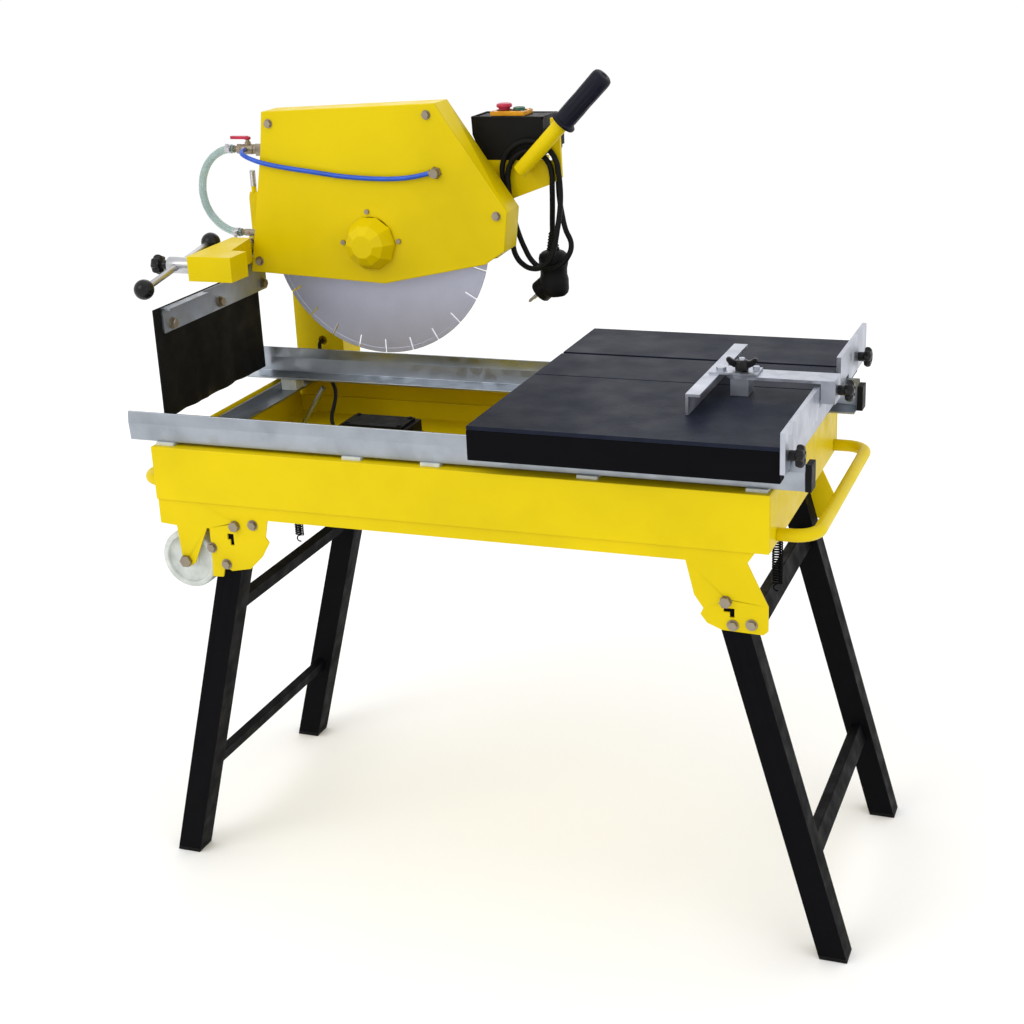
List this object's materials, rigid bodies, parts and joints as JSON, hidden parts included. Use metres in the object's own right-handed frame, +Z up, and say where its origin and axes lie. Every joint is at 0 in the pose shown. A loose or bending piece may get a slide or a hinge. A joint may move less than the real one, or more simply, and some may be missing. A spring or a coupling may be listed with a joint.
{
  "type": "masonry saw",
  "caption": "Masonry saw on folding legs with a water tray, rolling cart, mitre guide and a pivoting blade head.",
  "frame": {"origin": "centre of the footprint on the floor, measured without the cords and hoses", "axes": "+X along the rails towards the end with the cart, +Y from the operator to the motor side, +Z up"},
  "size_m": [1.0764, 0.6293, 1.1149],
  "materials": {
    "yellow_paint": "smooth gloss powder coat",
    "black_paint": "satin powder coat",
    "galvanised": "galvanised, semi-matte",
    "zinc": "satin",
    "bright_steel": "turned steel",
    "gold_zinc": "yellow passivated zinc",
    "blade_steel": "fine ground",
    "motor_paint": "satin",
    "black_plastic": "matte",
    "knob_plastic": "gloss",
    "black_rubber": "matte",
    "mat_rubber": "fine grain, matte",
    "grip_rubber": "matte",
    "nylon": "natural nylon",
    "red_plastic": "gloss",
    "green_plastic": "gloss",
    "orange_plastic": "gloss",
    "blue_tube": "gloss",
    "clear_tube": "clear PVC"
  },
  "bodies": {
    "base": {"side_panels": "yellow_paint", "leg_carriers": "yellow_paint", "water_tray": "yellow_paint", "cross_bars": "galvanised", "rails": "galvanised", "rail_pads": "nylon", "rail_caps": "black_plastic", "frame_bolts": "gold_zinc", "carry_handles": "yellow_paint", "rear_post": "yellow_paint", "pivot_shaft": "bright_steel", "lock_housing": "yellow_paint", "curtain_strip": "galvanised", "splash_curtain": "black_rubber", "pump": "black_plastic", "pump_cable": "black_rubber", "spring_left": "black_paint", "spring_right": "black_paint"},
    "leg_pair_left": {"legs_left": "black_paint", "leg_bars_left": "black_paint", "leg_feet_left": "black_rubber"},
    "leg_pair_right": {"legs_right": "black_paint", "leg_bars_right": "black_paint", "leg_feet_right": "black_rubber"},
    "wheel_f": {"wheel_front": "nylon"},
    "wheel_r": {"wheel_rear": "nylon"},
    "clamp": {"clamp_screw": "bright_steel", "clamp_balls": "knob_plastic"},
    "clamp_knob": {"clamp_star": "knob_plastic"},
    "head": {"arm": "yellow_paint", "guard_shell": "yellow_paint", "guard_cover": "yellow_paint", "guard_bolts": "gold_zinc", "hub_dome": "yellow_paint", "motor": "motor_paint", "grip": "grip_rubber", "switch_box": "black_plastic", "switch_plate": "orange_plastic", "water_valve": "bright_steel", "mains_cord": "black_rubber", "mains_plug": "black_rubber", "blue_hose": "blue_tube", "clear_hose": "clear_tube"},
    "lever": {"valve_lever": "red_plastic"},
    "stop": {"stop_button": "red_plastic"},
    "start": {"start_button": "green_plastic"},
    "saw_blade": {"blade": "blade_steel", "blade_flanges": "bright_steel"},
    "cart": {"cart_deck": "black_paint", "cart_mats": "mat_rubber", "roller_brackets": "galvanised", "stop_fences": "zinc"},
    "roller_axis_left": {"rollers_left": "bright_steel"},
    "roller_axis_right": {"rollers_right": "bright_steel"},
    "knob_front": {"fence_knob_front": "knob_plastic"},
    "knob_rear": {"fence_knob_rear": "knob_plastic"},
    "guide": {"guide_bar": "zinc"},
    "guide_knob": {"guide_star": "knob_plastic"},
    "wing_knob": {"guide_wing": "knob_plastic"},
    "fence": {"cross_fence": "zinc"}
  },
  "joints": [
    {"name": "leg_fold_left", "type": "hinge", "parent": "base", "child": "leg_pair_left", "pos_m": [-0.3237, -0.0672, 0.5405], "axis": [0, -1, 0], "range_deg": [0, 105.2]},
    {"name": "leg_fold_right", "type": "hinge", "parent": "base", "child": "leg_pair_right", "pos_m": [0.3713, -0.0672, 0.5025], "axis": [0, 1, 0], "range_deg": [0, 105]},
    {"name": "wheel_front_spin", "type": "hinge", "parent": "base", "child": "wheel_f", "pos_m": [-0.4072, -0.2677, 0.481], "axis": [0, 1, 0], "continuous": true},
    {"name": "wheel_rear_spin", "type": "hinge", "parent": "base", "child": "wheel_r", "pos_m": [-0.4072, 0.1333, 0.481], "axis": [0, 1, 0], "continuous": true},
    {"name": "clamp_turn", "type": "hinge", "parent": "base", "child": "clamp", "pos_m": [-0.4917, -0.0917, 0.86], "axis": [1, 0, 0], "range_deg": [-180, 180]},
    {"name": "clamp_knob_turn", "type": "hinge", "parent": "clamp", "child": "clamp_knob", "pos_m": [-0.5197, -0.0917, 0.86], "axis": [1, 0, 0], "continuous": true},
    {"name": "head_tilt", "type": "hinge", "parent": "base", "child": "head", "pos_m": [-0.4597, 0.1133, 0.856], "axis": [0, -1, 0], "range_deg": [0, 25]},
    {"name": "valve_turn", "type": "hinge", "parent": "head", "child": "lever", "pos_m": [-0.4517, 0.0723, 1.018], "axis": [0, 0, 1], "range_deg": [0, 90]},
    {"name": "stop_press", "type": "slide", "parent": "head", "child": "stop", "axis": [0, 0, -1], "range_m": [0, 0.003], "stiffness_N_per_m": 400, "springref_m": -0.002},
    {"name": "start_press", "type": "slide", "parent": "head", "child": "start", "axis": [0, 0, -1], "range_m": [0, 0.003], "stiffness_N_per_m": 400, "springref_m": -0.002},
    {"name": "blade_spin", "type": "hinge", "parent": "head", "child": "saw_blade", "pos_m": [-0.2417, 0.0643, 0.878], "axis": [0, 1, 0], "continuous": true},
    {"name": "cart_slide", "type": "slide", "parent": "base", "child": "cart", "axis": [1, 0, 0], "range_m": [-0.385, 0]},
    {"name": "roller_spin_left", "type": "hinge", "parent": "cart", "child": "roller_axis_left", "pos_m": [0.0823, -0.0917, 0.6729], "axis": [0, 1, 0], "range_deg": [-1310, 10]},
    {"name": "roller_spin_right", "type": "hinge", "parent": "cart", "child": "roller_axis_right", "pos_m": [0.4183, -0.0917, 0.6729], "axis": [0, 1, 0], "range_deg": [-1310, 10]},
    {"name": "fence_knob_front_turn", "type": "hinge", "parent": "cart", "child": "knob_front", "pos_m": [0.4613, -0.2917, 0.702], "axis": [1, 0, 0], "continuous": true},
    {"name": "fence_knob_rear_turn", "type": "hinge", "parent": "cart", "child": "knob_rear", "pos_m": [0.4613, 0.1803, 0.702], "axis": [1, 0, 0], "continuous": true},
    {"name": "guide_slide", "type": "slide", "parent": "cart", "child": "guide", "axis": [0, 1, 0], "range_m": [-0.1, 0.1]},
    {"name": "guide_knob_turn", "type": "hinge", "parent": "guide", "child": "guide_knob", "pos_m": [0.4813, -0.0857, 0.727], "axis": [1, 0, 0], "continuous": true},
    {"name": "wing_knob_turn", "type": "hinge", "parent": "guide", "child": "wing_knob", "pos_m": [0.3443, -0.0917, 0.755], "axis": [0, 0, 1], "continuous": true},
    {"name": "fence_swing", "type": "hinge", "parent": "guide", "child": "fence", "pos_m": [0.3443, -0.0917, 0.743], "axis": [0, 0, 1], "range_deg": [-20, 20]}
  ],
  "couplings": [
    {"joint": "roller_spin_left", "follows": "cart_slide", "rad_per_m": 58.824},
    {"joint": "roller_spin_right", "follows": "cart_slide", "rad_per_m": 58.824}
  ]
}
